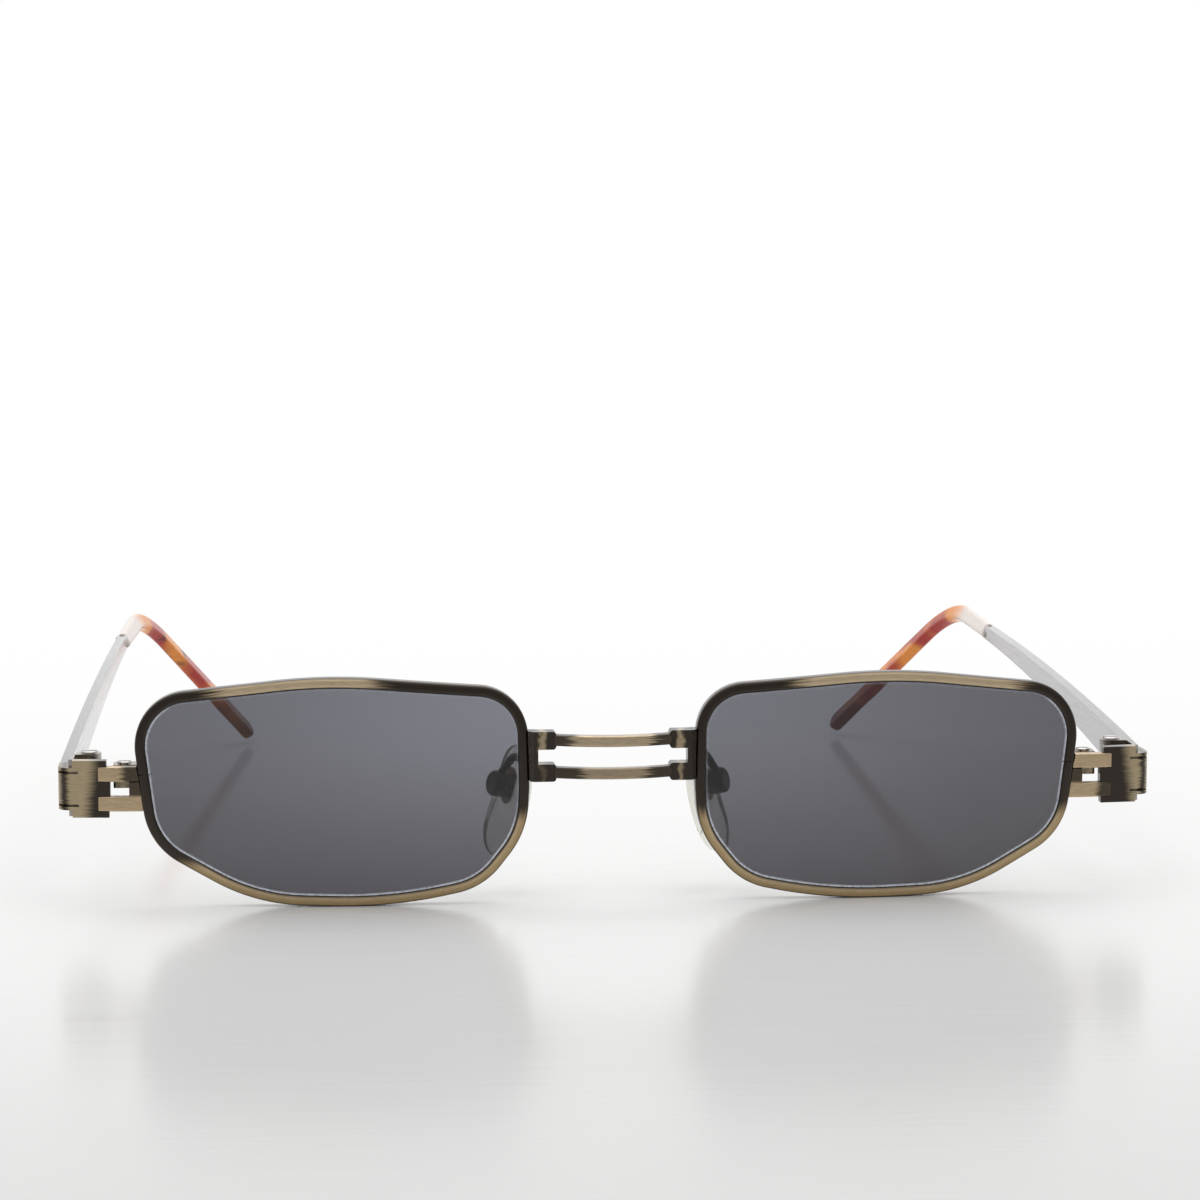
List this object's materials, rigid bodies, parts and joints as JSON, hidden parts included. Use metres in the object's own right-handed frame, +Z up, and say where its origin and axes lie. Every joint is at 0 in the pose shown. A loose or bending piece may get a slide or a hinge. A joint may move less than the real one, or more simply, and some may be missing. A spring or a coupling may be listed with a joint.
{
  "type": "narrow rectangle sunglasses",
  "caption": "Narrow rectangular metal sunglasses with a two-bar bridge, forked end pieces, folding temples with sleeved tips and rocking nose pads.",
  "frame": {"origin": "middle of the space the open sunglasses take up, on the table they stand on", "axes": "+Z up, -Y out of the front of the lenses, +X to the wearer's left"},
  "size_m": [0.135, 0.1334, 0.0281],
  "materials": {
    "antique_metal": "brushed antique, satin",
    "dark_fittings": "dark antique, satin",
    "grey_lens": "grey tint, polished",
    "clear_pad": "clear, soft",
    "tortoise_tip": "tortoise, polished"
  },
  "bodies": {
    "front": {"bridge_bar_lower": "antique_metal", "bridge_bar_upper": "antique_metal", "bridge_bracket_left": "antique_metal", "bridge_bracket_right": "antique_metal", "corner_block_left": "antique_metal", "corner_block_right": "antique_metal", "end_arm_lower_left": "antique_metal", "end_arm_lower_right": "antique_metal", "end_arm_upper_left": "antique_metal", "end_arm_upper_right": "antique_metal", "hinge_leaf_front_left": "dark_fittings", "hinge_leaf_front_right": "dark_fittings", "hinge_screw_left": "dark_fittings", "hinge_screw_right": "dark_fittings", "lens_left": "grey_lens", "lens_right": "grey_lens", "pad_arm_left": "dark_fittings", "pad_arm_right": "dark_fittings", "pad_box_left": "dark_fittings", "pad_box_right": "dark_fittings", "pad_screw_left": "dark_fittings", "pad_screw_right": "dark_fittings", "rim_left": "antique_metal", "rim_lock_lower_left": "dark_fittings", "rim_lock_lower_right": "dark_fittings", "rim_lock_screw_left": "dark_fittings", "rim_lock_screw_right": "dark_fittings", "rim_lock_upper_left": "dark_fittings", "rim_lock_upper_right": "dark_fittings", "rim_right": "antique_metal"},
    "temple_left": {"temple_left": "antique_metal", "temple_tip_left": "tortoise_tip", "hinge_leaf_temple_left": "dark_fittings"},
    "temple_right": {"temple_right": "antique_metal", "temple_tip_right": "tortoise_tip", "hinge_leaf_temple_right": "dark_fittings"},
    "nose_pad_left": {"nose_pad_left": "clear_pad", "pad_insert_left": "dark_fittings"},
    "nose_pad_right": {"nose_pad_right": "clear_pad", "pad_insert_right": "dark_fittings"}
  },
  "joints": [
    {"name": "temple_left_fold", "type": "hinge", "parent": "front", "child": "temple_left", "pos_m": [0.064, -0.05487, 0.0144], "axis": [0, 0, 1], "range_deg": [0, 79]},
    {"name": "temple_right_fold", "type": "hinge", "parent": "front", "child": "temple_right", "pos_m": [-0.064, -0.05487, 0.0144], "axis": [0, 0, -1], "range_deg": [0, 66.5]},
    {"name": "nose_pad_left_rock", "type": "hinge", "parent": "front", "child": "nose_pad_left", "pos_m": [0.01344, -0.05779, 0.01379], "axis": [0.4358, 0.8935, 0.1087], "range_deg": [-8, 8]},
    {"name": "nose_pad_right_rock", "type": "hinge", "parent": "front", "child": "nose_pad_right", "pos_m": [-0.01344, -0.05779, 0.01379], "axis": [0.4358, -0.8935, -0.1087], "range_deg": [-8, 8]}
  ]
}
